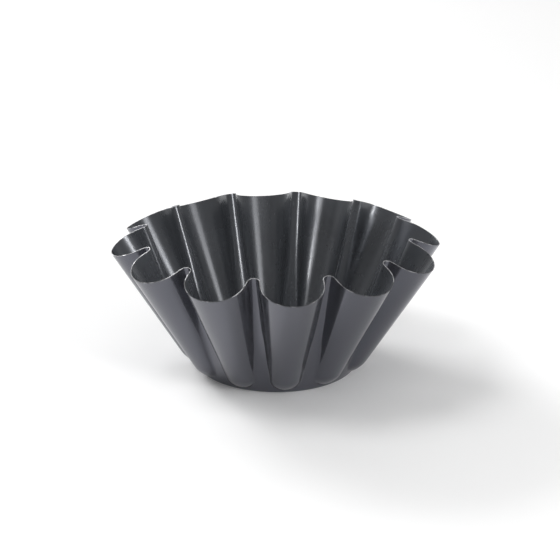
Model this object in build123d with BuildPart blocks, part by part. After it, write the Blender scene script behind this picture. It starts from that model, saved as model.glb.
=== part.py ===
from build123d import *
from math import acos, atan, cos, degrees, hypot, radians, sin, sqrt, tan
import os

# A large brioche mould, drawn and fluted from one round blank of thin sheet steel.
# It stands on the XY plane with its axis on Z, and one flute points along +X.
# All radii and heights are those of the outside surface unless they say otherwise.

# Sheet
sheet_thickness = 0.5

# Flutes, and the narrow folds between them
flute_count = 12

# Rim, a cut edge that is higher on the fold tips than on the flute crowns. The blank is round,
# so its edge keeps one distance from a circle on the base plane, which has the swing radius.
crown_rim_radius = 110.0
crown_rim_height = 82.2
fold_rim_radius = 88.6
rim_swing_radius = 56.4
rim_fold_arc = 3.5

# How far round the crown arcs go at the rim, as a share of the opening at which they would
# touch the fold tips. Short of that, a straight flank lies between the two
rim_opening_share = 0.88

# Shoulder, the level where the straight flutes turn into their rounded lower ends
shoulder_height = 11.0
shoulder_crown_radius = 65.4
shoulder_band_width = 7.2
shoulder_fillet = 2.2

# Rounded flute ends, which fade into the smooth band above the base
flute_end_height = 3.1
end_levels = 5
end_swell_share = 0.02
end_taper_share = 0.8

# Base
base_radius = 54.2
base_corner_radius = 2.5

# The wall is lofted this far above the highest rim point, and then trimmed to the rim
trim_allowance = 1.0

half_pitch = 180 / flute_count
rim_reach = hypot(crown_rim_radius - rim_swing_radius, crown_rim_height)
fold_rim_height = sqrt(rim_reach**2 - (fold_rim_radius - rim_swing_radius) ** 2)
top_height = fold_rim_height + trim_allowance
fold_slope = (fold_rim_radius - base_radius) / fold_rim_height
crown_slope = (crown_rim_radius - shoulder_crown_radius) / (crown_rim_height - shoulder_height)

# Thickness of the leaning sheet as a level section cuts it, at a slope between the two
wall_slope = (fold_slope + crown_slope) / 2
sheet_across = hypot(sheet_thickness, sheet_thickness * wall_slope)


def cup_radius(height):
    """Radius of the cone that the fold tips and the base band lie on."""
    return base_radius + fold_slope * height


def crown_radius(height):
    """Distance from the axis to the crown line of a flute."""
    return shoulder_crown_radius + crown_slope * (height - shoulder_height)


def polar_point(radius, angle):
    return Vector(radius * cos(radians(angle)), radius * sin(radians(angle)))


def arc_between(centre, radius, start, end):
    """Arc from one direction to another, both seen from its centre, in degrees."""
    return CenterArc(centre, radius, start, end - start)


def crown_arc_through(crown, side_centre, side_arc):
    """The crown arc of a flute goes through its crown and touches the side arcs at its ends.
    Returns its radius, its centre's distance from the axis, and the direction of its ends."""
    reach = crown - side_centre.X
    crown_arc = (reach**2 + side_centre.Y**2 - side_arc**2) / (2 * (side_arc + reach))
    centre = crown - crown_arc
    opening = degrees(acos((side_centre.X - centre) / (crown_arc + side_arc)))
    return crown_arc, centre, opening


def top_section(skin):
    """Section at the rim: broad crown arcs, straight flanks that touch them, and small round
    fold tips. The inside keeps the same centres."""
    with BuildSketch(Plane.XY.offset(top_height)) as section:
        crown = crown_radius(top_height)
        tip_radius = cup_radius(top_height) + rim_fold_arc
        tip_centre = polar_point(tip_radius, half_pitch)
        utmost_opening = crown_arc_through(crown, tip_centre, rim_fold_arc)[-1]
        opening = rim_opening_share * utmost_opening
        normal = polar_point(1, opening)
        crown_arc = (tip_centre.dot(normal) - rim_fold_arc - crown * normal.X) / (1 - normal.X)
        crown_centre = polar_point(crown - crown_arc, 0)
        flank_start = crown_centre + normal * (crown_arc - skin)
        flank_end = tip_centre - normal * (rim_fold_arc + skin)
        with BuildLine():
            for index in range(flute_count):
                turn = 2 * half_pitch * index
                arc_between(
                    crown_centre.rotate(Axis.Z, turn), crown_arc - skin, turn - opening, turn + opening
                )
                for side in (-1, 1):
                    Line(
                        Vector(flank_start.X, side * flank_start.Y).rotate(Axis.Z, turn),
                        Vector(flank_end.X, side * flank_end.Y).rotate(Axis.Z, turn),
                    )
                tip = turn + half_pitch
                arc_between(
                    polar_point(tip_radius, tip),
                    rim_fold_arc + skin,
                    tip + 180 + opening - half_pitch,
                    tip + 180 - opening + half_pitch,
                )
        make_face()
    return section.sketch


def lower_outline(height, swell):
    """Crown arc and fillets of one flute at a level, as the angle and radius of the fillets and
    what crown_arc_through gives. Swell is 1 where the flute is full and 0 at its end."""
    taper = swell**end_taper_share
    cup = cup_radius(height)
    full_swell = crown_radius(height) - cup
    crown = cup + full_swell * swell
    band_angle = degrees(shoulder_band_width / cup_radius(shoulder_height)) / 2
    spread = (half_pitch - band_angle) * taper
    fillet = shoulder_fillet * taper
    fillet_centre = polar_point(cup + fillet, spread)
    return spread, fillet, *crown_arc_through(crown, fillet_centre, fillet)


def lower_section(height, swell, skin):
    """Section between the shoulder and the flute ends: crown arcs that rise from the cup
    circle through small fillets, with a smooth band between the flutes."""
    spread, fillet, crown_arc, crown_centre, opening = lower_outline(height, swell)
    cup = cup_radius(height)
    with BuildSketch(Plane.XY.offset(height)) as section:
        with BuildLine():
            for index in range(flute_count):
                turn = 2 * half_pitch * index
                arc_between(
                    polar_point(crown_centre, turn), crown_arc - skin, turn - opening, turn + opening
                )
                for side in (-1, 1):
                    arc_between(
                        polar_point(cup + fillet, turn + side * spread),
                        fillet + skin,
                        turn + 180 + side * opening,
                        turn + 180 + side * spread,
                    )
                arc_between(
                    Vector(0, 0), cup - skin, turn + spread, turn + 2 * half_pitch - spread
                )
        make_face()
    return section.sketch


def wall_sections(skin):
    """Sections of the wall from the flute ends up to the top, outside or inside. The crowns of
    the ends fall along a quarter of an ellipse."""
    lowest = flute_end_height + (sheet_thickness if skin else 0)
    last_step = degrees(acos(end_swell_share))
    steps = [last_step * (1 - level / end_levels) for level in range(end_levels + 1)]
    sections = [
        lower_section(
            shoulder_height - (shoulder_height - lowest) * sin(radians(step)) / sin(radians(last_step)),
            cos(radians(step)),
            skin,
        )
        for step in steps
    ]
    return [*sections, top_section(skin)]


def cup_profile(skin):
    """Half profile of the base: flat, rounded corner, and the cone up to the flute ends."""
    floor = sheet_thickness if skin else 0
    top = flute_end_height + floor
    corner = base_corner_radius - floor
    cone_foot = cup_radius(floor) - skin
    lean = degrees(atan(fold_slope))
    setback = corner * tan(radians(45 - lean / 2))
    with BuildSketch(Plane.XZ) as profile:
        with BuildLine():
            flat_edge = cone_foot - setback
            corner_centre = Vector(flat_edge, floor + corner)
            corner_arc = CenterArc(corner_centre, corner, -90, 90 - lean)
            Line((0, floor), (flat_edge, floor))
            Line(corner_arc @ 1, (cup_radius(top) - skin, top))
            Line((cup_radius(top) - skin, top), (0, top))
            Line((0, top), (0, floor))
        make_face()
    return profile.sketch


# The rim lies on the surface that an arc about the swing circle sweeps round the axis
rim_axis_angle = degrees(acos(-rim_swing_radius / rim_reach))

with BuildSketch(Plane.XZ) as rim_profile:
    with BuildLine():
        rim_arc = CenterArc((rim_swing_radius, 0), rim_reach, 0, rim_axis_angle)
        Line((0, 0), rim_arc @ 0)
        Line(rim_arc @ 1, (0, 0))
    make_face()

with BuildPart() as mould_shell:
    loft(wall_sections(0), ruled=True)
    revolve(cup_profile(0), axis=Axis.Z)
    loft(wall_sections(sheet_across), ruled=True, mode=Mode.SUBTRACT)
    revolve(cup_profile(sheet_across), axis=Axis.Z, mode=Mode.SUBTRACT)
    revolve(rim_profile.sketch, axis=Axis.Z, mode=Mode.INTERSECT)

mould_shell.part.label = "mould_shell"

os.makedirs("parts", exist_ok=True)
export_step(mould_shell.part, "parts/mould_shell.step")
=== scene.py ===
import math

import bpy
import numpy as np
from bpy.props import FloatProperty, FloatVectorProperty, IntProperty, PointerProperty
from mathutils import Matrix, Vector


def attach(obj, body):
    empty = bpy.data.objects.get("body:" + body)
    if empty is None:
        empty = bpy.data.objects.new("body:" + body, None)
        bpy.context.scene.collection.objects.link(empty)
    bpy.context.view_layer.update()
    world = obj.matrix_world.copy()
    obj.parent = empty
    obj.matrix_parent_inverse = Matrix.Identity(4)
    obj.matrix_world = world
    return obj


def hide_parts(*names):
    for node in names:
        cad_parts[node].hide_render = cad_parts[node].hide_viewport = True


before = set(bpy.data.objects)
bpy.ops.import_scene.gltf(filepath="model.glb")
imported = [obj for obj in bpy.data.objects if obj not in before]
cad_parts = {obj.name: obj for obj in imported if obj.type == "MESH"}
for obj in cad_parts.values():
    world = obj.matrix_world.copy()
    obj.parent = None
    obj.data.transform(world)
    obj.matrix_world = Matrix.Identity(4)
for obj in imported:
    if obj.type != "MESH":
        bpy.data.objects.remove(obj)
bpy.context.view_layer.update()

bl_info = {
    "name": "Fluted brioche mould",
    "version": (1, 0, 0),
    "blender": (4, 5, 0),
    "location": "View3D > Sidebar > Mould",
    "description": "A deep fluted baking mould of coated sheet steel, on a plain studio floor",
    "category": "Add Mesh",
}


# Settings


class MouldSizes(bpy.types.PropertyGroup):
    """Sizes of the pressed shell. Radii and heights are those of its outside surface."""

    sheet_thickness: FloatProperty(
        name="Sheet", description="Thickness of the sheet", default=0.0005, unit="LENGTH"
    )
    flute_count: IntProperty(
        name="Flutes", description="Number of flutes round the mould", default=12, min=3
    )
    crown_rim_radius: FloatProperty(
        name="Crown rim radius", description="Radius of the rim on a flute's crown",
        default=0.110, unit="LENGTH",
    )
    crown_rim_height: FloatProperty(
        name="Crown rim height", description="Height of the rim on a flute's crown",
        default=0.0822, unit="LENGTH",
    )
    fold_rim_radius: FloatProperty(
        name="Fold rim radius", description="Radius of the rim on a fold's tip",
        default=0.0886, unit="LENGTH",
    )
    rim_swing_radius: FloatProperty(
        name="Rim swing radius",
        description="Radius of the floor circle that the rim keeps one distance from",
        default=0.0564, unit="LENGTH",
    )
    rim_fold_arc: FloatProperty(
        name="Fold tip arc", description="Radius of a fold's rounded tip at the rim",
        default=0.0035, unit="LENGTH",
    )
    rim_opening_share: FloatProperty(
        name="Rim opening",
        description="How far round a flute's crown arc goes at the rim, as a share of its utmost",
        default=0.88, min=0.5, max=0.98,
    )
    trim_allowance: FloatProperty(
        name="Trim allowance",
        description="How far the wall runs past the rim before it is trimmed",
        default=0.001, unit="LENGTH",
    )
    shoulder_height: FloatProperty(
        name="Shoulder height", description="Height at which the flutes start to round off",
        default=0.011, unit="LENGTH",
    )
    shoulder_crown_radius: FloatProperty(
        name="Shoulder crown radius",
        description="Distance of a crown from the axis at the shoulder",
        default=0.0654, unit="LENGTH",
    )
    shoulder_band_width: FloatProperty(
        name="Shoulder band", description="Width of the smooth band between flutes at the shoulder",
        default=0.0072, unit="LENGTH",
    )
    shoulder_fillet: FloatProperty(
        name="Shoulder fillet", description="Radius that leads a flute into the band",
        default=0.0022, unit="LENGTH",
    )
    flute_end_height: FloatProperty(
        name="Flute end height", description="Height at which the flutes fade out",
        default=0.0031, unit="LENGTH",
    )
    end_taper_share: FloatProperty(
        name="End taper", description="How bluntly the flute ends close, less is blunter",
        default=0.8, min=0.2, max=1.0,
    )
    base_radius: FloatProperty(
        name="Base radius", description="Radius of the wall's cone at the floor",
        default=0.0542, unit="LENGTH",
    )
    base_corner_radius: FloatProperty(
        name="Base corner", description="Radius of the corner between base and wall",
        default=0.0025, unit="LENGTH",
    )
    edge_round: FloatProperty(
        name="Edge round", description="Radius of the rounded corners of the cut edge",
        default=0.00012, unit="LENGTH",
    )


class MouldFinishes(bpy.types.PropertyGroup):
    """Colours and textures of the coated sheet."""

    outside_colour: FloatVectorProperty(
        name="Outside", description="Colour of the outside coating", subtype="COLOR",
        default=(0.035, 0.036, 0.04), min=0.0, max=1.0,
    )
    inside_colour: FloatVectorProperty(
        name="Inside", description="Colour of the non-stick coating inside", subtype="COLOR",
        default=(0.0472, 0.0508, 0.0568), min=0.0, max=1.0,
    )
    steel_colour: FloatVectorProperty(
        name="Bare steel", description="Colour of the cut edge", subtype="COLOR",
        default=(0.45, 0.45, 0.46), min=0.0, max=1.0,
    )
    outside_roughness: FloatProperty(
        name="Outside roughness", description="Roughness of the outside coating",
        default=0.19, min=0.0, max=1.0,
    )
    inside_roughness: FloatProperty(
        name="Inside roughness", description="Roughness of the coating inside",
        default=0.27, min=0.0, max=1.0,
    )
    outside_tint: FloatVectorProperty(
        name="Outside tint", description="Tint of the reflections in the outside coating",
        subtype="COLOR", default=(0.84, 0.855, 1.0), min=0.0, max=1.0,
    )
    inside_tint: FloatVectorProperty(
        name="Inside tint", description="Tint of the reflections in the coating inside",
        subtype="COLOR", default=(0.915, 0.94, 1.0), min=0.0, max=1.0,
    )
    outside_index: FloatProperty(
        name="Outside index", description="Refractive index of the outside coating",
        default=2.05, min=1.0, max=3.0,
    )
    inside_index: FloatProperty(
        name="Inside index", description="Refractive index of the coating inside",
        default=1.95, min=1.0, max=3.0,
    )
    outside_glaze: FloatProperty(
        name="Outside glaze", description="Weight of the clear top layer outside",
        default=0.1, min=0.0, max=1.0,
    )
    inside_glaze: FloatProperty(
        name="Inside glaze", description="Weight of the clear top layer inside",
        default=0.24, min=0.0, max=1.0,
    )
    glaze_roughness: FloatProperty(
        name="Glaze roughness", description="Roughness of the clear top layer",
        default=0.07, min=0.0, max=1.0,
    )
    grain_size: FloatProperty(
        name="Grain", description="Size of the coating's orange peel",
        default=0.0009, unit="LENGTH",
    )
    outside_grain: FloatProperty(
        name="Outside grain depth", description="Depth of the orange peel outside",
        default=0.000005, unit="LENGTH",
    )
    inside_grain: FloatProperty(
        name="Inside grain depth", description="Depth of the orange peel inside",
        default=0.000006, unit="LENGTH",
    )
    wave_size: FloatProperty(
        name="Waves", description="Length of the faint waves that pressing left in the sheet",
        default=0.012, unit="LENGTH",
    )
    wave_depth: FloatProperty(
        name="Wave depth", description="Depth of the faint waves in the sheet",
        default=0.00004, unit="LENGTH",
    )
    draw_mark_spacing: FloatProperty(
        name="Draw marks",
        description="Spacing of the faint marks that drawing left along the wall",
        default=0.0011, unit="LENGTH",
    )
    worn_width: FloatProperty(
        name="Worn width", description="Width of the rubbed line beside the cut edge",
        default=0.0003, unit="LENGTH",
    )
    patch_size: FloatProperty(
        name="Edge patches", description="Size of the coated patches on the cut edge",
        default=0.005, unit="LENGTH",
    )


class MouldStage(bpy.types.PropertyGroup):
    """Floor, lights and camera."""

    floor_colour: FloatVectorProperty(
        name="Floor", description="Colour of the studio floor", subtype="COLOR",
        default=(0.96, 0.96, 0.96), min=0.0, max=1.0,
    )
    floor_glow: FloatProperty(
        name="Floor glow",
        description="Lift of the floor in view and in reflections, which lights nothing",
        default=0.06, min=0.0, max=1.0,
    )
    key_power: FloatProperty(
        name="Key", description="Power of the key light behind the mould, at its left",
        default=106.0, min=0.0, unit="POWER",
    )
    key_width: FloatProperty(
        name="Key width", description="Width of the key light", default=1.5, unit="LENGTH",
    )
    key_height: FloatProperty(
        name="Key height", description="Height of the key light", default=1.1, unit="LENGTH",
    )
    box_power: FloatProperty(
        name="Soft box", description="Power of the narrow soft box at the front right",
        default=4.2, min=0.0, unit="POWER",
    )
    box_width: FloatProperty(
        name="Soft box width", description="Width of the soft box", default=0.22, unit="LENGTH",
    )
    box_height: FloatProperty(
        name="Soft box height", description="Height of the soft box", default=0.48, unit="LENGTH",
    )
    front_power: FloatProperty(
        name="Front fill", description="Power of the broad panel at the front right",
        default=8.8, min=0.0, unit="POWER",
    )
    front_size: FloatProperty(
        name="Front fill size", description="Width of the panel at the front right",
        default=1.0, unit="LENGTH",
    )
    top_power: FloatProperty(
        name="Top fill", description="Power of the broad panel above the mould, at its left",
        default=21.0, min=0.0, unit="POWER",
    )
    top_size: FloatProperty(
        name="Top fill size", description="Width of the panel above the mould",
        default=1.0, unit="LENGTH",
    )
    boom_power: FloatProperty(
        name="Boom light", description="Power of the broad panel above the camera",
        default=8.0, min=0.0, unit="POWER",
    )
    boom_size: FloatProperty(
        name="Boom light size", description="Width of the panel above the camera",
        default=1.4, unit="LENGTH",
    )
    sky_strength: FloatProperty(
        name="Sky", description="Strength of the light from all round, which fades overhead",
        default=0.28, min=0.0,
    )
    wall_strength: FloatProperty(
        name="Back wall", description="Strength of the light from the pale wall behind the mould",
        default=1.1, min=0.0,
    )
    view_distance: FloatProperty(
        name="Distance", description="Distance of the camera from the foot of the mould",
        default=1.2515, unit="LENGTH",
    )
    view_azimuth: FloatProperty(
        name="Azimuth", description="Direction of the camera, 0 looks along +Y",
        default=math.radians(-6.0747), subtype="ANGLE",
    )
    view_elevation: FloatProperty(
        name="Elevation", description="Height of the camera above the floor, as an angle",
        default=math.radians(23.2217), subtype="ANGLE",
    )
    view_lens: FloatProperty(
        name="Lens", description="Focal length on a 36 mm sensor", default=117.65, unit="CAMERA"
    )
    view_pan: FloatProperty(
        name="Pan",
        description="How far the camera aims left of the mould's foot, less than 0 is right of it",
        default=-0.0019013, subtype="ANGLE",
    )
    view_tilt: FloatProperty(
        name="Tilt",
        description="How far the camera aims below the mould's foot, less than 0 is above it",
        default=-0.0438885, subtype="ANGLE",
    )
    view_roll: FloatProperty(
        name="Roll",
        description="Turn of the camera about its own axis, more than 0 lifts its right side",
        default=0.0025885, subtype="ANGLE",
    )


# Shape of the wall

# Points across half a flute: its crown arc, its flank and its half of a fold
CROWN_STEPS = 12
FLANK_STEPS = 6
FOLD_STEPS = 7

# Rows of the skin, from the middle of the base up to the rim
BASE_RINGS = (0.0, 0.35, 0.7, 0.95, 1.0)
CORNER_ROWS = 6
END_ROWS = 18
WALL_ROWS = 24

# The last rows below the rim, as shares of the way from the shoulder up to it
RIM_LEVELS = (0.985, 0.998, 1.0)

# Angle by which the flute ends stop short of vanishing, in radians
END_GAP = 0.002

# Newton steps that find where a line of the wall meets the rim
RIM_STEPS = 10


def polar(radius, angle):
    """Plan points as complex numbers, x real and y imaginary."""
    return radius * np.exp(1j * angle)


def across_half_flute():
    """Shares from 0 to 1 along the crown arc, along the flank and along half the fold."""
    crown = np.linspace(0.0, 1.0, CROWN_STEPS + 1)
    flank = np.linspace(0.0, 1.0, FLANK_STEPS + 1)[1:]
    fold = np.linspace(0.0, 1.0, FOLD_STEPS + 1)[1:]
    return crown, flank, fold


class Wall:
    """The straight lines and slopes that every section of the wall is made from."""

    def __init__(self, sizes):
        self.sizes = sizes
        self.half_pitch = math.pi / sizes.flute_count
        swing = sizes.crown_rim_radius - sizes.rim_swing_radius
        self.rim_reach = math.hypot(swing, sizes.crown_rim_height)
        fold_swing = sizes.fold_rim_radius - sizes.rim_swing_radius
        self.fold_rim_height = math.sqrt(self.rim_reach**2 - fold_swing**2)
        self.top_height = self.fold_rim_height + sizes.trim_allowance
        self.fold_slope = (sizes.fold_rim_radius - sizes.base_radius) / self.fold_rim_height
        self.crown_slope = (sizes.crown_rim_radius - sizes.shoulder_crown_radius) / (
            sizes.crown_rim_height - sizes.shoulder_height
        )
        slope = (self.fold_slope + self.crown_slope) / 2
        self.sheet_across = sizes.sheet_thickness * math.hypot(1.0, slope)

    def cup_radius(self, height):
        """Radius of the cone that the fold tips and the base band lie on."""
        return self.sizes.base_radius + self.fold_slope * height

    def crown_radius(self, height):
        """Distance from the axis to the crown line of a flute."""
        return self.sizes.shoulder_crown_radius + self.crown_slope * (
            height - self.sizes.shoulder_height
        )


def crown_arc_through(crown_line, side_centre, side_arc):
    """The crown arc of a flute goes through its crown and touches a side arc at either end. With
    d the crown's distance ahead of the side arc's centre, w that centre's distance from the
    flute's centre line and s its radius, the crown arc's radius is (d squared + w squared - s
    squared) / (2 (s + d)). Returns the radius, its centre and the direction of its ends."""
    reach = crown_line - side_centre.real
    radius = (reach**2 + side_centre.imag**2 - side_arc**2) / (2 * (side_arc + reach))
    centre = crown_line - radius
    facing = (side_centre.real - centre) / (radius + side_arc)
    return radius, centre, np.arccos(np.clip(facing, -1, 1))


def top_outline(wall, skin):
    """Half a flute at the top level: the crown arc, a straight flank and half of the fold's round
    tip. Were the flank left out, the two arcs would touch at the opening that crown_arc_through
    gives, and the flank's normal n stands at a share of that. With F the tip's centre, s its
    radius and c the crown's distance, the crown arc's radius is (F dot n - s - c cos n) /
    (1 - cos n), so that the flank touches both."""
    crown, flank, fold = across_half_flute()
    sizes = wall.sizes
    tip = sizes.rim_fold_arc
    tip_centre = polar(wall.cup_radius(wall.top_height) + tip, wall.half_pitch)
    crown_line = wall.crown_radius(wall.top_height)
    opening = sizes.rim_opening_share * crown_arc_through(crown_line, tip_centre, tip)[2]
    normal = polar(1.0, opening)
    radius = (tip_centre * np.conj(normal)).real - tip - crown_line * normal.real
    radius = radius / (1 - normal.real)
    centre = crown_line - radius
    flank_start = centre + (radius - skin) * normal
    flank_end = tip_centre - (tip + skin) * normal
    on_crown = centre + polar(radius - skin, opening * crown)
    on_flank = flank_start + (flank_end - flank_start) * flank
    tip_turn = np.pi + opening - fold * (opening - wall.half_pitch)
    return np.concatenate([on_crown, on_flank, tip_centre + polar(tip + skin, tip_turn)])


def lower_outline(wall, height, swell, skin):
    """Half a flute at lower levels, one row for each height: the crown arc, the fillet that leads
    it into the band circle, and half of the band. The fillet's centre lies on that circle pushed
    out by its radius. Swell is 1 where the flute is full and 0 at its end."""
    crown, flank, fold = across_half_flute()
    sizes = wall.sizes
    height = height[:, None]
    swell = swell[:, None]
    taper = swell**sizes.end_taper_share
    cup = wall.cup_radius(height)
    crown_line = cup + (wall.crown_radius(height) - cup) * swell
    band = sizes.shoulder_band_width / wall.cup_radius(sizes.shoulder_height) / 2
    spread = (wall.half_pitch - band) * taper
    fillet = sizes.shoulder_fillet * taper
    fillet_centre = polar(cup + fillet, spread)
    radius, centre, opening = crown_arc_through(crown_line, fillet_centre, fillet)
    fillet_turn = np.pi + opening - flank * (opening - spread)
    on_crown = centre + polar(radius - skin, opening * crown)
    on_fillet = fillet_centre + polar(fillet + skin, fillet_turn)
    on_band = polar(cup - skin, spread + fold * (wall.half_pitch - spread))
    return np.concatenate([on_crown, on_fillet, on_band], axis=1)


def rim_share(wall, low, rise):
    """Share of the way from shoulder to top at which each ruled line of the wall meets the rim.
    The rim keeps the distance rim_reach from the swing circle on the floor, so the share is the
    root of that distance, found by Newton steps on all the lines at once."""
    sizes = wall.sizes
    climb = wall.top_height - sizes.shoulder_height
    share = np.ones(low.shape)
    for _ in range(RIM_STEPS):
        plan = low + rise * share
        radius = np.abs(plan)
        height = sizes.shoulder_height + climb * share
        out = radius - sizes.rim_swing_radius
        miss = out**2 + height**2 - wall.rim_reach**2
        radius_rate = (plan * np.conj(rise)).real / radius
        share = share - miss / (2 * (out * radius_rate + height * climb))
    return share


def skin_rows(wall, skin):
    """One skin of the mould as rows from the middle of the base up to the rim, each across half
    a flute: flat base, corner arc, cone, flute ends whose crowns rise along a quarter of an
    ellipse, and the ruled wall up to the rim. Returns plan points and heights."""
    sizes = wall.sizes
    floor = sizes.sheet_thickness if skin else 0.0
    lowest = sizes.flute_end_height + floor

    step = np.linspace(0.5 * np.pi - END_GAP, 0.0, END_ROWS + 1)
    end_height = sizes.shoulder_height - (sizes.shoulder_height - lowest) * np.sin(step)
    ends = lower_outline(wall, end_height, np.cos(step), skin)

    low = ends[-1]
    rise = top_outline(wall, skin) - low
    share = rim_share(wall, low, rise)
    level = np.append(np.linspace(0.0, 1.0, WALL_ROWS)[1:-1], RIM_LEVELS)[:, None]
    ruled = low + rise * share * level
    climb = wall.top_height - sizes.shoulder_height
    ruled_height = sizes.shoulder_height + climb * share * level

    angle = np.angle(ends[0])
    lean = math.atan(wall.fold_slope)
    corner = sizes.base_corner_radius - floor
    flat_edge = wall.cup_radius(floor) - skin - corner * math.tan(math.pi / 4 - lean / 2)
    bend = np.linspace(0.0, math.pi / 2 - lean, CORNER_ROWS + 1)[1:, None]
    base = polar(flat_edge * np.array(BASE_RINGS)[:, None], angle)
    bent = polar(flat_edge + corner * np.sin(bend), angle)
    bent_height = floor + corner * (1 - np.cos(bend))

    plan = np.concatenate([base, bent, ends, ruled])
    width = plan.shape[1]
    heights = [
        np.full((len(base), width), floor),
        np.broadcast_to(bent_height, (len(bent), width)),
        np.broadcast_to(end_height[:, None], (len(ends), width)),
        ruled_height,
    ]
    return plan, np.concatenate(heights)


def whole_turn(wall, plan, height):
    """Mirrors half a flute about its centre line and turns the flute to every place, as rows of
    x, y, z. The first column is a fold's tip."""
    flute = np.concatenate([np.conj(plan[:, ::-1]), plan[:, 1:-1]], axis=1)
    flute_height = np.concatenate([height[:, ::-1], height[:, 1:-1]], axis=1)
    count = wall.sizes.flute_count
    turns = np.exp(2j * np.pi * np.arange(count) / count)
    ring = (flute[:, None, :] * turns[None, :, None]).reshape(len(plan), -1)
    return np.stack([ring.real, ring.imag, np.tile(flute_height, (1, count))], axis=-1)


def cut_edge_rows(outer, inner, radius):
    """Rows over the cut edge. From the outer rim point o to the inner one i, with e the unit
    step across and t the unit step back down each skin, the rows are the two ends of a small
    corner arc at o, its middle, and the same at i."""

    def unit(step):
        return step / np.linalg.norm(step, axis=-1, keepdims=True)

    across = unit(inner[-1] - outer[-1])
    down_outer = unit(outer[-2] - outer[-1])
    down_inner = unit(inner[-2] - inner[-1])
    middle = radius * (1 - math.sqrt(0.5))
    return np.stack([
        outer[-1] + radius * down_outer,
        outer[-1] + middle * (down_outer + across),
        outer[-1] + radius * across,
        inner[-1] - radius * across,
        inner[-1] + middle * (down_inner - across),
        inner[-1] + radius * down_inner,
    ])


def shell_grid(sizes):
    """The closed profile carried round the axis: up the outside skin from the middle of the
    base, over the cut edge, and down the inside skin. Returns the rows, the rows at which the
    cut edge starts and ends, and each point's distance from the rim along its column."""
    wall = Wall(sizes)
    outer = whole_turn(wall, *skin_rows(wall, 0.0))
    inner = whole_turn(wall, *skin_rows(wall, wall.sheet_across))
    edge = cut_edge_rows(outer, inner, sizes.edge_round)
    rows = np.concatenate([outer[:-1], edge, inner[-2::-1]])
    first, last = len(outer) - 1, len(outer) + len(edge) - 2

    run = np.linalg.norm(np.diff(rows, axis=0), axis=-1)
    along = np.concatenate([np.zeros((1, rows.shape[1])), np.cumsum(run, axis=0)])
    from_rim = np.where(
        np.arange(len(rows))[:, None] <= first, along[first] - along, along - along[last]
    )
    from_rim[first:last + 1] = 0.0
    return rows, first, last, from_rim


def shell_mesh(sizes):
    """Mesh of the shell: a grid closed round the axis, with a single point at each pole, so row
    r and column c join r+1 and c+1 in one face. Its map has the distance round the rim as u and
    the distance from the rim as v, both in metres."""
    rows, first, last, from_rim = shell_grid(sizes)
    count, width = rows.shape[:2]
    points = np.concatenate([rows[0, :1], rows[1:-1].reshape(-1, 3), rows[-1, :1]])
    end = len(points) - 1

    r, c = np.meshgrid(np.arange(1, count - 2), np.arange(width), indexing="ij")
    following = (c + 1) % width
    start = 1 + (r - 1) * width
    above = start + width
    quads = np.stack([start + c, start + following, above + following, above + c], -1)
    ring = np.arange(width)
    next_ring = (ring + 1) % width
    lower = np.stack([np.zeros(width, int), 1 + next_ring, 1 + ring], -1)
    top = 1 + (count - 3) * width
    upper = np.stack([np.full(width, end), top + ring, top + next_ring], -1)

    mesh = bpy.data.meshes.new("mould_body")
    faces = quads.reshape(-1, 4).tolist() + lower.tolist() + upper.tolist()
    mesh.from_pydata(points.tolist(), [], faces)
    mesh.polygons.foreach_set("use_smooth", np.ones(len(faces), bool))

    skin = np.where(r < first, 0, np.where(r < last, 2, 1)).ravel()
    finish = np.concatenate([skin, np.zeros(width, int), np.ones(width, int)])
    mesh.polygons.foreach_set("material_index", finish.astype(np.int32))

    rim = rows[first]
    round_rim = np.append(0.0, np.cumsum(np.linalg.norm(np.roll(rim, -1, axis=0) - rim, axis=-1)))
    quad_u = np.stack([round_rim[c], round_rim[c + 1], round_rim[c + 1], round_rim[c]], -1)
    quad_v = np.stack([
        from_rim[r, c], from_rim[r, following], from_rim[r + 1, following], from_rim[r + 1, c]
    ], -1)
    middle_u = (round_rim[:-1] + round_rim[1:]) / 2
    lower_u = np.stack([middle_u, round_rim[1:], round_rim[:-1]], -1)
    lower_v = np.stack([from_rim[0], from_rim[1, next_ring], from_rim[1]], -1)
    upper_u = np.stack([middle_u, round_rim[:-1], round_rim[1:]], -1)
    upper_v = np.stack([from_rim[-1], from_rim[-2], from_rim[-2, next_ring]], -1)
    u = np.concatenate([quad_u.ravel(), lower_u.ravel(), upper_u.ravel()])
    v = np.concatenate([quad_v.ravel(), lower_v.ravel(), upper_v.ravel()])
    wall_map = mesh.uv_layers.new(name="wall")
    wall_map.data.foreach_set("uv", np.stack([u, v], -1).ravel().astype(np.float32))
    mesh.update()
    return mesh


# Finishes

# How often the noises repeat in a metre: the mottle of the coating's shade, the draw marks along
# their length, and the breaks in the worn line
MOTTLE_RATE = 38.0
MARK_RATE = 22.0
WEAR_BREAK_RATE = 260.0

# How far the mottle shifts the coating's shade and roughness, and the draw marks its roughness
# and its relief
MOTTLE_SHADE = 0.1
MOTTLE_ROUGHNESS = 0.12
MARK_ROUGHNESS = 0.03
MARK_RELIEF = 0.04

# The draw marks fade out over this length of wall, most of it near its end
MARKED_LENGTH = 0.1
MARK_FADE_POWER = 6.0

# The rim gets more bare steel and a wider worn line between these heights, up to the fold tips:
# a painted highlight on the fold tips' rim and painted shade on the crowns' rim
RUB_AND_HIGHLIGHT_START = 0.0835
RUB_AND_HIGHLIGHT_FULL = 0.0905

# Share of the worn line's width that is left on the crowns, and what the fold tips have more as a
# painted highlight, and how sharply the line ends
LEAST_WEAR = 0.2
TIP_WEAR_AND_HIGHLIGHT = 0.9
WEAR_EDGE_POWER = 0.7

# Bare steel shows on the cut edge where a noise passes this level, over a soft step. The shift
# lowers the level near the fold tips and raises it by as much on the crowns: a painted highlight on
# the fold tips' edge and painted shade on the crowns' edge
BARE_LEVEL = 0.5
BARE_STEP = 0.2
BARE_AND_HIGHLIGHT_SHIFT = 0.12

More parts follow.
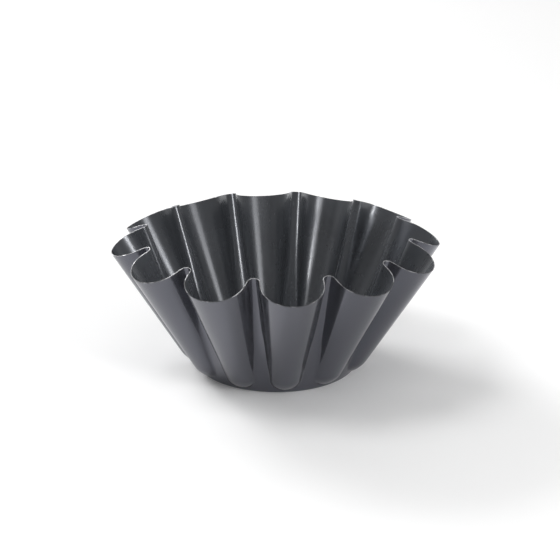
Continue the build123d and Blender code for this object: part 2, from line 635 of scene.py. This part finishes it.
# Cut edge: size of its grain beside the coating's, least roughness and what the grain adds to
# it, and the depth and strength of its relief
EDGE_GRAIN_SHARE = 0.4
EDGE_ROUGHNESS = 0.25
EDGE_GRAIN_ROUGHNESS = 0.25
EDGE_RELIEF = 0.00003
EDGE_RELIEF_STRENGTH = 0.3

# Roughness of the floor's paper
PAPER_ROUGHNESS = 0.9


def add_socket(tree, name, kind, is_output=False, default=None):
    """Adds a named input or output to a shader group."""
    way = "OUTPUT" if is_output else "INPUT"
    socket = tree.interface.new_socket(name=name, in_out=way, socket_type=kind)
    if default is not None:
        socket.default_value = default
    return socket


def math_node(tree, operation, first, second=None, third=None, clamp=False):
    """Adds a Math node whose inputs are links or plain numbers, and returns its output."""
    node = tree.nodes.new("ShaderNodeMath")
    node.operation = operation
    node.use_clamp = clamp
    for socket, value in zip(node.inputs, (first, second, third)):
        if value is None:
            continue
        if isinstance(value, (int, float)):
            socket.default_value = value
        else:
            tree.links.new(value, socket)
    return node.outputs[0]


def noise_node(tree, vector, scale, detail, roughness=0.5):
    """Adds a Noise Texture, whose scale is a link or a plain number, and returns its height."""
    node = tree.nodes.new("ShaderNodeTexNoise")
    node.inputs["Detail"].default_value = detail
    node.inputs["Roughness"].default_value = roughness
    tree.links.new(vector, node.inputs["Vector"])
    if isinstance(scale, (int, float)):
        node.inputs["Scale"].default_value = scale
    else:
        tree.links.new(scale, node.inputs["Scale"])
    return node.outputs["Fac"]


def range_node(tree, value, low, high):
    """Adds a Map Range node that rises from 0 at low to 1 at high, and returns its result."""
    node = tree.nodes.new("ShaderNodeMapRange")
    node.inputs["From Min"].default_value = low
    node.inputs["From Max"].default_value = high
    tree.links.new(value, node.inputs["Value"])
    return node.outputs["Result"]


def split_node(tree, vector):
    """Adds a Separate XYZ node and returns its outputs by name."""
    node = tree.nodes.new("ShaderNodeSeparateXYZ")
    tree.links.new(vector, node.inputs[0])
    return node.outputs


def coating_grain_group():
    """Orange peel of a sprayed and baked coating: fine noise for its height, and a broad mottle
    of its shade. Size is the spacing of the grain."""
    tree = bpy.data.node_groups.new("coating_grain", "ShaderNodeTree")
    add_socket(tree, "Vector", "NodeSocketVector")
    add_socket(tree, "Size", "NodeSocketFloat", default=0.001)
    add_socket(tree, "Height", "NodeSocketFloat", is_output=True)
    add_socket(tree, "Mottle", "NodeSocketFloat", is_output=True)
    start = tree.nodes.new("NodeGroupInput")
    end = tree.nodes.new("NodeGroupOutput")
    place = start.outputs["Vector"]
    scale = math_node(tree, "DIVIDE", 1.0, start.outputs["Size"])
    peel = noise_node(tree, place, scale, detail=2.0, roughness=0.6)
    mottle = noise_node(tree, place, MOTTLE_RATE, detail=4.0, roughness=0.55)
    tree.links.new(peel, end.inputs["Height"])
    tree.links.new(mottle, end.inputs["Mottle"])
    return tree


def sheet_waves_group():
    """Faint unevenness of the pressed sheet, which lets the edges of highlights waver: smooth
    noise of the given length, centred on 0."""
    tree = bpy.data.node_groups.new("sheet_waves", "ShaderNodeTree")
    add_socket(tree, "Vector", "NodeSocketVector")
    add_socket(tree, "Length", "NodeSocketFloat", default=0.012)
    add_socket(tree, "Wave", "NodeSocketFloat", is_output=True)
    start = tree.nodes.new("NodeGroupInput")
    end = tree.nodes.new("NodeGroupOutput")
    scale = math_node(tree, "DIVIDE", 1.0, start.outputs["Length"])
    wave = noise_node(tree, start.outputs["Vector"], scale, detail=1.0, roughness=0.4)
    tree.links.new(math_node(tree, "SUBTRACT", wave, 0.5), end.inputs["Wave"])
    return tree


def draw_marks_group():
    """Faint lines that the tool left along the wall as the blank was drawn: noise that is narrow
    round the rim and long down the wall. It fades out over the length of the wall."""
    tree = bpy.data.node_groups.new("draw_marks", "ShaderNodeTree")
    add_socket(tree, "Map", "NodeSocketVector")
    add_socket(tree, "Spacing", "NodeSocketFloat", default=0.001)
    add_socket(tree, "Wall Length", "NodeSocketFloat", default=0.09)
    add_socket(tree, "Marks", "NodeSocketFloat", is_output=True)
    start = tree.nodes.new("NodeGroupInput")
    end = tree.nodes.new("NodeGroupOutput")
    parts = split_node(tree, start.outputs["Map"])
    joined = tree.nodes.new("ShaderNodeCombineXYZ")
    across = math_node(tree, "DIVIDE", parts["X"], start.outputs["Spacing"])
    tree.links.new(across, joined.inputs["X"])
    tree.links.new(math_node(tree, "MULTIPLY", parts["Y"], MARK_RATE), joined.inputs["Y"])
    lines = noise_node(tree, joined.outputs[0], 1.0, detail=3.0, roughness=0.62)
    share = math_node(tree, "DIVIDE", parts["Y"], start.outputs["Wall Length"])
    fade = math_node(tree, "POWER", share, MARK_FADE_POWER, clamp=True)
    keep = math_node(tree, "SUBTRACT", 1.0, fade, clamp=True)
    faded = math_node(tree, "MULTIPLY", math_node(tree, "SUBTRACT", lines, 0.5), keep)
    tree.links.new(math_node(tree, "ADD", faded, 0.5), end.inputs["Marks"])
    return tree


def rubbed_and_highlit_share(tree, place):
    """How much more bare steel a place on the rim gets, from 0 on the crowns to 1 near the fold
    tips: a painted highlight on the fold tips and painted shade on the crowns.
    """
    return range_node(tree, split_node(tree, place)["Z"], RUB_AND_HIGHLIGHT_START, RUB_AND_HIGHLIGHT_FULL)


def rim_wear_group():
    """Rubbed coating beside the cut edge: a mask that is 1 at the rim and falls to 0 over Width,
    which is less on the crowns as painted shade and more near the fold tips as a painted highlight,
    broken up by noise so that it comes and goes."""
    tree = bpy.data.node_groups.new("rim_wear", "ShaderNodeTree")
    add_socket(tree, "Vector", "NodeSocketVector")
    add_socket(tree, "Map", "NodeSocketVector")
    add_socket(tree, "Width", "NodeSocketFloat", default=0.0005)
    add_socket(tree, "Wear", "NodeSocketFloat", is_output=True)
    start = tree.nodes.new("NodeGroupInput")
    end = tree.nodes.new("NodeGroupOutput")
    place = start.outputs["Vector"]
    breaks = noise_node(tree, place, WEAR_BREAK_RATE, detail=3.0)
    widest = math_node(tree, "MULTIPLY", start.outputs["Width"], breaks)
    # Wider near the fold tips and narrower on the crowns: a painted highlight and painted shade
    rub_and_tip_highlight = math_node(tree, "MULTIPLY_ADD", rubbed_and_highlit_share(tree, place), TIP_WEAR_AND_HIGHLIGHT, LEAST_WEAR)
    reach = math_node(tree, "MULTIPLY", widest, rub_and_tip_highlight)
    from_rim = split_node(tree, start.outputs["Map"])["Y"]
    near = math_node(tree, "SUBTRACT", 1.0, math_node(tree, "DIVIDE", from_rim, reach), clamp=True)
    wear = math_node(tree, "POWER", near, WEAR_EDGE_POWER, clamp=True)
    tree.links.new(wear, end.inputs["Wear"])
    return tree


def shared_group(name, make):
    """The group of that name, made the first time it is asked for."""
    return bpy.data.node_groups.get(name) or make()


def place_group(tree, group, **values):
    """Places a shader group in a material, with plain numbers or links for its inputs."""
    node = tree.nodes.new("ShaderNodeGroup")
    node.node_tree = group
    for name, value in values.items():
        socket = node.inputs[name.replace("_", " ")]
        if isinstance(value, (int, float)):
            socket.default_value = value
        else:
            tree.links.new(value, socket)
    return node


def colour_mix(tree, share, first, second):
    """Mixes two colours, which are links or plain colours, and returns the result."""
    node = tree.nodes.new("ShaderNodeMix")
    node.data_type = "RGBA"
    tree.links.new(share, node.inputs[0])
    for socket, value in ((node.inputs[6], first), (node.inputs[7], second)):
        if isinstance(value, tuple):
            socket.default_value = (*value, 1.0)
        else:
            tree.links.new(value, socket)
    return node.outputs[2]


def plain_material(name):
    """A new material with only a Principled shader and its output."""
    material = bpy.data.materials.new(name)
    material.use_nodes = True
    tree = material.node_tree
    tree.nodes.clear()
    shader = tree.nodes.new("ShaderNodeBsdfPrincipled")
    output = tree.nodes.new("ShaderNodeOutputMaterial")
    tree.links.new(shader.outputs[0], output.inputs["Surface"])
    return material, tree, shader


def coating_material(name, colour, tint, roughness, index, glaze, relief, finishes):
    """Satin coating on sheet steel: mottled colour and gloss, draw marks in its gloss and relief,
    orange peel and the waves of the sheet as relief, and bare steel where the rim is rubbed, more
    of it near the fold tips as a painted highlight and less on the crowns as painted shade."""
    material, tree, shader = plain_material(name)
    shader.inputs["IOR"].default_value = index
    shader.inputs["Specular Tint"].default_value = (*tint, 1.0)
    shader.inputs["Coat Weight"].default_value = glaze
    shader.inputs["Coat Roughness"].default_value = finishes.glaze_roughness
    place = tree.nodes.new("ShaderNodeTexCoord").outputs["Object"]
    wall_map = tree.nodes.new("ShaderNodeUVMap")
    wall_map.uv_map = "wall"
    grain = place_group(
        tree, shared_group("coating_grain", coating_grain_group), Vector=place,
        Size=finishes.grain_size,
    )
    marks = place_group(
        tree, shared_group("draw_marks", draw_marks_group), Map=wall_map.outputs[0],
        Spacing=finishes.draw_mark_spacing, Wall_Length=MARKED_LENGTH,
    ).outputs["Marks"]
    wear = place_group(
        tree, shared_group("rim_wear", rim_wear_group), Vector=place, Map=wall_map.outputs[0],
        Width=finishes.worn_width,
    ).outputs["Wear"]

    dark = tuple((1 - MOTTLE_SHADE) * part for part in colour)
    light = tuple((1 + MOTTLE_SHADE) * part for part in colour)
    coat = colour_mix(tree, grain.outputs["Mottle"], dark, light)
    worn_coat = colour_mix(tree, wear, coat, tuple(finishes.steel_colour))
    tree.links.new(worn_coat, shader.inputs["Base Color"])
    tree.links.new(wear, shader.inputs["Metallic"])

    centred = math_node(tree, "SUBTRACT", marks, 0.5)
    satin = math_node(tree, "MULTIPLY_ADD", centred, MARK_ROUGHNESS, roughness)
    cloud = math_node(tree, "SUBTRACT", grain.outputs["Mottle"], 0.5)
    gloss = math_node(tree, "MULTIPLY_ADD", cloud, MOTTLE_ROUGHNESS, satin)
    tree.links.new(gloss, shader.inputs["Roughness"])

    waves = place_group(
        tree, shared_group("sheet_waves", sheet_waves_group), Vector=place,
        Length=finishes.wave_size,
    )
    fine = math_node(tree, "MULTIPLY_ADD", marks, MARK_RELIEF, grain.outputs["Height"])
    wave = math_node(tree, "MULTIPLY", waves.outputs["Wave"], finishes.wave_depth / relief)
    bump = tree.nodes.new("ShaderNodeBump")
    bump.inputs["Distance"].default_value = relief
    tree.links.new(math_node(tree, "ADD", fine, wave), bump.inputs["Height"])
    tree.links.new(bump.outputs[0], shader.inputs["Normal"])
    return material


def steel_material(finishes):
    """Bare sheared steel, with fine grain in its relief and gloss. Coating ran over the edge and is
    rubbed off in patches; more steel shows near the fold tips as a painted highlight, and more
    coating on the crowns as painted shade."""
    material, tree, shader = plain_material("cut_edge_steel")
    place = tree.nodes.new("ShaderNodeTexCoord").outputs["Object"]
    grain = place_group(
        tree, shared_group("coating_grain", coating_grain_group), Vector=place,
        Size=EDGE_GRAIN_SHARE * finishes.grain_size,
    ).outputs["Height"]
    patches = noise_node(tree, place, 1 / finishes.patch_size, detail=3.0)
    # More bare steel near the fold tips and less on the crowns: painted highlight and painted shade
    rub_and_tip_highlight = math_node(tree, "MULTIPLY_ADD", rubbed_and_highlit_share(tree, place), 2 * BARE_AND_HIGHLIGHT_SHIFT, -BARE_AND_HIGHLIGHT_SHIFT)
    level = math_node(tree, "ADD", patches, rub_and_tip_highlight)
    shown = range_node(tree, level, BARE_LEVEL - BARE_STEP / 2, BARE_LEVEL + BARE_STEP / 2)
    edge = colour_mix(tree, shown, tuple(finishes.outside_colour), tuple(finishes.steel_colour))
    tree.links.new(edge, shader.inputs["Base Color"])
    tree.links.new(shown, shader.inputs["Metallic"])
    rough = math_node(tree, "MULTIPLY_ADD", grain, EDGE_GRAIN_ROUGHNESS, EDGE_ROUGHNESS)
    tree.links.new(rough, shader.inputs["Roughness"])
    bump = tree.nodes.new("ShaderNodeBump")
    bump.inputs["Strength"].default_value = EDGE_RELIEF_STRENGTH
    bump.inputs["Distance"].default_value = EDGE_RELIEF
    tree.links.new(grain, bump.inputs["Height"])
    tree.links.new(bump.outputs[0], shader.inputs["Normal"])
    return material


# Operators


class MOULD_OT_add_shell(bpy.types.Operator):
    """Adds the fluted shell in place of the plain one"""

    bl_idname = "mould.add_shell"
    bl_label = "Add fluted shell"
    bl_options = {"REGISTER", "UNDO"}

    def execute(self, context):
        sizes = context.scene.mould_sizes
        finishes = context.scene.mould_finishes
        mesh = shell_mesh(sizes)
        mesh.materials.append(coating_material(
            "outside_coating", tuple(finishes.outside_colour), tuple(finishes.outside_tint),
            finishes.outside_roughness, finishes.outside_index, finishes.outside_glaze,
            finishes.outside_grain, finishes,
        ))
        mesh.materials.append(coating_material(
            "inside_coating", tuple(finishes.inside_colour), tuple(finishes.inside_tint),
            finishes.inside_roughness, finishes.inside_index, finishes.inside_glaze,
            finishes.inside_grain, finishes,
        ))
        mesh.materials.append(steel_material(finishes))
        body = bpy.data.objects.new("mould_body", mesh)
        context.scene.collection.objects.link(body)
        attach(body, "root")
        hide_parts("mould_shell")
        return {"FINISHED"}


# Half the width of the floor
FLOOR_REACH = 6.0

# The lights look at this point, in the middle of the mould
LIT_POINT = Vector((0.0, 0.0, 0.06))

# Where each light stands: angle to the right of the camera and elevation, both in degrees, and
# distance from the foot of the mould
LAMP_PLACES = {
    "key_light": (-140.0, 26.0, 4.0),
    "soft_box": (46.0, 21.0, 1.3),
    "front_fill": (45.0, 35.0, 2.5),
    "top_fill": (-90.0, 58.0, 2.5),
    "boom_light": (0.0, 70.0, 2.5),
}

# Width of the camera's sensor in millimetres, and the nearest and farthest that it sees
SENSOR_WIDTH = 36.0
NEAREST_VIEW = 0.05
FARTHEST_VIEW = 40.0


def add_panel_light(scene, name, power, size, place):
    """Adds an upright rectangular light that looks at the middle of the mould."""
    panel = bpy.data.lights.new(name, "AREA")
    panel.shape = "RECTANGLE"
    panel.size, panel.size_y = size
    panel.energy = power
    lamp = bpy.data.objects.new(name, panel)
    lamp.location = place
    lamp.rotation_euler = (LIT_POINT - Vector(place)).to_track_quat("-Z", "Y").to_euler()
    scene.collection.objects.link(lamp)


def round_view(stage, side, elevation, distance):
    """A place given by its angle to the right of the camera, seen from the mould, and its
    elevation and distance."""
    turn = stage.view_azimuth - math.pi / 2 + side
    level = distance * math.cos(elevation)
    return (level * math.cos(turn), level * math.sin(turn), distance * math.sin(elevation))


def camera_matrix(stage):
    """The camera stands on a sphere about the mould's foot and looks at it, and is then panned,
    tilted and rolled about its own axes."""
    turn = stage.view_azimuth
    across = Vector((math.cos(turn), math.sin(turn), 0.0))
    level = Vector((-math.sin(turn), math.cos(turn), 0.0))
    rise, run = math.sin(stage.view_elevation), math.cos(stage.view_elevation)
    forward = run * level - rise * Vector((0.0, 0.0, 1.0))
    down = forward.cross(across)
    axes = Matrix((across, down, forward))
    axes = (
        Matrix.Rotation(stage.view_roll, 3, "Z")
        @ Matrix.Rotation(stage.view_tilt, 3, "X")
        @ Matrix.Rotation(stage.view_pan, 3, "Y")
        @ axes
    )
    place = -stage.view_distance * forward
    matrix = Matrix((axes[0], -axes[1], -axes[2])).transposed().to_4x4()
    matrix.translation = place
    return matrix


def studio_world(stage):
    """A dim room with a pale wall behind the mould. With z the upward part of a direction and b
    its part towards the wall, never less than 0, the strength is sky times (1 - z squared) plus
    wall times b squared."""
    world = bpy.data.worlds.new("studio_room")
    world.use_nodes = True
    tree = world.node_tree
    room = tree.nodes["Background"]
    room.inputs["Color"].default_value = (1.0, 1.0, 1.0, 1.0)
    direction = tree.nodes.new("ShaderNodeTexCoord").outputs["Generated"]
    parts = []
    for axis in ((0.0, 0.0, 1.0), round_view(stage, math.pi, 0.0, 1.0)):
        along = tree.nodes.new("ShaderNodeVectorMath")
        along.operation = "DOT_PRODUCT"
        along.inputs[1].default_value = axis
        tree.links.new(direction, along.inputs[0])
        part = math_node(tree, "MAXIMUM", along.outputs["Value"], 0.0)
        parts.append(math_node(tree, "MULTIPLY", part, part))
    up, back = parts
    sky = math_node(tree, "MULTIPLY_ADD", up, -stage.sky_strength, stage.sky_strength)
    strength = math_node(tree, "MULTIPLY_ADD", back, stage.wall_strength, sky)
    tree.links.new(strength, room.inputs["Strength"])
    return world


def floor_material(stage):
    """Plain paper, whose faint glow is there for the camera and for reflections only, so that the
    open floor is white and no light comes from it."""
    material, tree, shader = plain_material("floor_paper")
    shader.inputs["Base Color"].default_value = (*stage.floor_colour, 1.0)
    shader.inputs["Roughness"].default_value = PAPER_ROUGHNESS
    shader.inputs["Specular IOR Level"].default_value = 0.0
    shader.inputs["Emission Color"].default_value = (1.0, 1.0, 1.0, 1.0)
    ray = tree.nodes.new("ShaderNodeLightPath")
    seen = math_node(tree, "MAXIMUM", ray.outputs["Is Camera Ray"], ray.outputs["Is Glossy Ray"])
    seen = math_node(tree, "MAXIMUM", seen, ray.outputs["Is Transmission Ray"])
    glow = math_node(tree, "MULTIPLY", seen, stage.floor_glow)
    tree.links.new(glow, shader.inputs["Emission Strength"])
    return material


class MOULD_OT_add_stage(bpy.types.Operator):
    """Adds the studio floor, the lights and the camera"""

    bl_idname = "mould.add_stage"
    bl_label = "Add stage"
    bl_options = {"REGISTER", "UNDO"}

    def execute(self, context):
        stage = context.scene.mould_stage
        scene = context.scene

        corners = [
            (-FLOOR_REACH, -FLOOR_REACH, 0.0), (FLOOR_REACH, -FLOOR_REACH, 0.0),
            (FLOOR_REACH, FLOOR_REACH, 0.0), (-FLOOR_REACH, FLOOR_REACH, 0.0),
        ]
        mesh = bpy.data.meshes.new("studio_floor")
        mesh.from_pydata(corners, [], [(0, 1, 2, 3)])
        mesh.materials.append(floor_material(stage))
        floor = bpy.data.objects.new("studio_floor", mesh)
        scene.collection.objects.link(floor)

        scene.world = studio_world(stage)

        for name, power, width, height in (
            ("key_light", stage.key_power, stage.key_width, stage.key_height),
            ("soft_box", stage.box_power, stage.box_width, stage.box_height),
            ("front_fill", stage.front_power, stage.front_size, stage.front_size),
            ("top_fill", stage.top_power, stage.top_size, stage.top_size),
            ("boom_light", stage.boom_power, stage.boom_size, stage.boom_size),
        ):
            side, elevation, distance = LAMP_PLACES[name]
            place = round_view(stage, math.radians(side), math.radians(elevation), distance)
            add_panel_light(scene, name, power, (width, height), place)

        lens = bpy.data.cameras.new("camera")
        lens.sensor_width = SENSOR_WIDTH
        lens.lens = stage.view_lens
        lens.clip_start = NEAREST_VIEW
        lens.clip_end = FARTHEST_VIEW
        camera = bpy.data.objects.new("camera", lens)
        scene.collection.objects.link(camera)
        camera.matrix_world = camera_matrix(stage)
        scene.camera = camera
        scene.view_settings.view_transform = "Standard"
        return {"FINISHED"}


# Panel


class MOULD_PT_panel(bpy.types.Panel):
    """Sizes, finishes and stage of the mould"""

    bl_label = "Brioche mould"
    bl_space_type = "VIEW_3D"
    bl_region_type = "UI"
    bl_category = "Mould"

    def draw(self, context):
        scene = context.scene
        for title, group in (
            ("Shell", scene.mould_sizes),
            ("Finishes", scene.mould_finishes),
            ("Stage", scene.mould_stage),
        ):
            section = self.layout.box()
            section.label(text=title)
            for name in group.__annotations__:
                section.prop(group, name)
        self.layout.operator(MOULD_OT_add_shell.bl_idname)
        self.layout.operator(MOULD_OT_add_stage.bl_idname)


CLASSES = (
    MouldSizes, MouldFinishes, MouldStage, MOULD_OT_add_shell, MOULD_OT_add_stage, MOULD_PT_panel,
)


def register():
    for item in CLASSES:
        bpy.utils.register_class(item)
    bpy.types.Scene.mould_sizes = PointerProperty(type=MouldSizes)
    bpy.types.Scene.mould_finishes = PointerProperty(type=MouldFinishes)
    bpy.types.Scene.mould_stage = PointerProperty(type=MouldStage)


def unregister():
    del bpy.types.Scene.mould_stage
    del bpy.types.Scene.mould_finishes
    del bpy.types.Scene.mould_sizes
    for item in reversed(CLASSES):
        bpy.utils.unregister_class(item)


def main():
    register()
    bpy.ops.mould.add_shell()
    bpy.ops.mould.add_stage()


if __name__ == "__main__":
    main()
